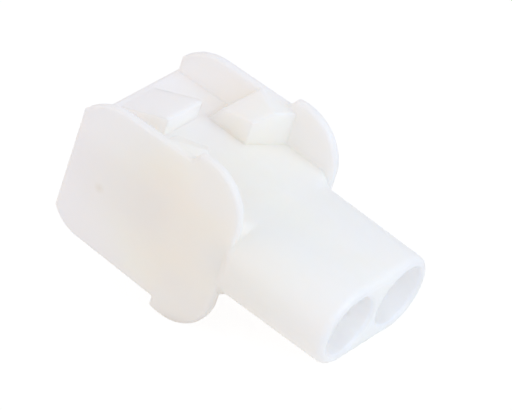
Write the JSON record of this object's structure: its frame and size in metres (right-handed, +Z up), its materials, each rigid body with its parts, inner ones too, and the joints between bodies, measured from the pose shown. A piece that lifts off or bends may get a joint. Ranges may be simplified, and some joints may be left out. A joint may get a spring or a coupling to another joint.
{
  "type": "wire connector",
  "caption": "Keyed crimp-contact wire connector housing with a latch ramp, finger lobes on tall side plates, and a round-ended wire barrel.",
  "frame": {"origin": "middle of the underside of the housing as it rests on a level surface, on its two lower finger lobes and the lower edge of the barrel's end", "axes": "+X points from the mating end to the wire end, level; +Y across the two circuits; +Z up. The circuits' own axes run down by 18 degrees towards +X."},
  "size_m": [0.0306, 0.015, 0.0184],
  "materials": {
    "natural_nylon": "natural off-white nylon, slightly translucent, satin moulded surface"
  },
  "bodies": {
    "root": {"housing": "natural_nylon"}
  },
  "joints": []
}
